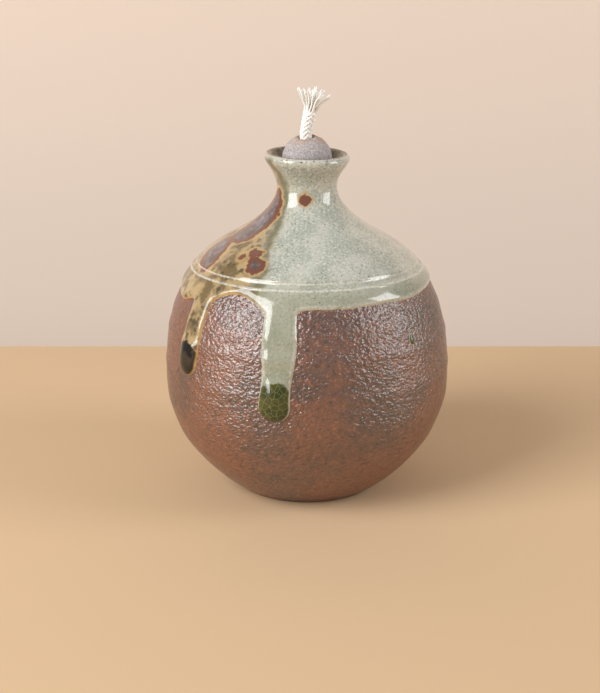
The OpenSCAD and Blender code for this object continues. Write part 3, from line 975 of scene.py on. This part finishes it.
# %% Sandy ball clay
ball_material, tree, shader = new_material("sandy_clay")
base = mix_colour(tree, remap(tree, grain(tree, 0.7, 3), 0.35, 0.65), rgb(150, 140, 138), rgb(186, 180, 180))
sand = specks(tree, 0.9, 0.22, 0.12)
base = mix_colour(tree, maths(tree, "MULTIPLY", sand, 0.7), base, rgb(214, 196, 180))
near_hole = remap(tree, object_height(tree), 143.5 * MM, 147.5 * MM)
toast = maths(tree, "MULTIPLY", near_hole, remap(tree, grain(tree, 3, 3), 0.38, 0.6))
base = mix_colour(tree, toast, base, rgb(176, 134, 102))
tree.links.new(base, shader.inputs["Base Color"])
bump = put(tree, "Bump", {"Height": grain(tree, 0.5, 3), "Strength": 0.8, "Distance": 0.12 * MM})
tree.links.new(bump.outputs[0], shader.inputs["Normal"])
shader.inputs["Roughness"].default_value = 0.75
ball.data.materials.append(ball_material)

# %% [markdown]
# ## Cotton
# Clean cotton is nearly white and quite dull. A little sheen lightens it at grazing angles, as fluff does,
# and a fine bump stands for the fibres in a yarn.

# %% Cotton
cotton_material, tree, shader = new_material("cotton_yarn")
base = mix_colour(tree, remap(tree, grain(tree, 0.6, 3), 0.4, 0.65), rgb(238, 237, 233), rgb(250, 249, 247))
tree.links.new(base, shader.inputs["Base Color"])
bump = put(tree, "Bump", {"Height": grain(tree, 0.18, 3, (1, 1, 0.4)), "Strength": 0.8, "Distance": 0.1 * MM})
tree.links.new(bump.outputs[0], shader.inputs["Normal"])
shader.inputs["Roughness"].default_value = 0.9
shader.inputs["Sheen Weight"].default_value = 0.3
for piece in (stem, tail, fray):
    piece.data.materials.append(cotton_material)

# %% [markdown]
# ## Stage and light
# The lamp stands on a pale floor in front of a plain wall. Two tall soft windows light it from the left and
# the right, as the reflections in the glaze show, and an even sky fills the shadows.

# %% Floor and wall
FLOOR_END = 190 * MM
WALL_Y = FLOOR_END + 0.5
SIDE, FLOOR_FRONT, WALL_FOOT, WALL_TOP = 2, -1.2, -0.6, 1.6


def stage_sheet(name, corners, colour):
    """A flat sheet of the studio, painted in one plain colour."""
    bm = bmesh.new()
    bm.faces.new([bm.verts.new(c) for c in corners])
    mesh = bpy.data.meshes.new(name)
    bm.to_mesh(mesh)
    bm.free()
    sheet = bpy.data.objects.new(name, mesh)
    bpy.context.scene.collection.objects.link(sheet)
    material, _, shader = new_material(name + "_paint")
    shader.inputs["Base Color"].default_value = colour
    shader.inputs["Roughness"].default_value = 0.9
    mesh.materials.append(material)


stage_sheet("floor", [(-SIDE, FLOOR_FRONT, 0), (SIDE, FLOOR_FRONT, 0), (SIDE, FLOOR_END, 0),
                      (-SIDE, FLOOR_END, 0)], rgb(208, 178, 142))
stage_sheet("wall", [(-SIDE, WALL_Y, WALL_FOOT), (SIDE, WALL_Y, WALL_FOOT), (SIDE, WALL_Y, WALL_TOP),
                     (-SIDE, WALL_Y, WALL_TOP)], rgb(236, 215, 198))

# %% Lamps
WINDOW_TARGET = Vector((0, 0, 90 * MM))


def window(name, azimuth, elevation, distance, width, height, power):
    """A soft rectangular light, placed by its direction from the lamp, with the azimuth to the right."""
    data = bpy.data.lights.new(name, "AREA")
    data.shape = "RECTANGLE"
    data.size, data.size_y, data.energy = width, height, power
    light = bpy.data.objects.new(name, data)
    a, e = math.radians(azimuth), math.radians(elevation)
    direction = Vector((math.sin(a) * math.cos(e), -math.cos(a) * math.cos(e), math.sin(e)))
    light.location = WINDOW_TARGET + distance * direction
    light.rotation_euler = (-direction).to_track_quat("-Z", "Y").to_euler()
    bpy.context.scene.collection.objects.link(light)
    print("placed", name)


window("left_window", -56, 28, 1.2, 0.68, 0.97, 17.5)
window("right_window", 78, 20, 1.2, 0.5, 0.78, 7.5)
world = bpy.data.worlds.new("room")
world.use_nodes = True
world.node_tree.nodes["Background"].inputs[0].default_value = (1, 0.98, 0.95, 1)
world.node_tree.nodes["Background"].inputs[1].default_value = 0.3
bpy.context.scene.world = world
bpy.context.scene.view_settings.view_transform = "Standard"
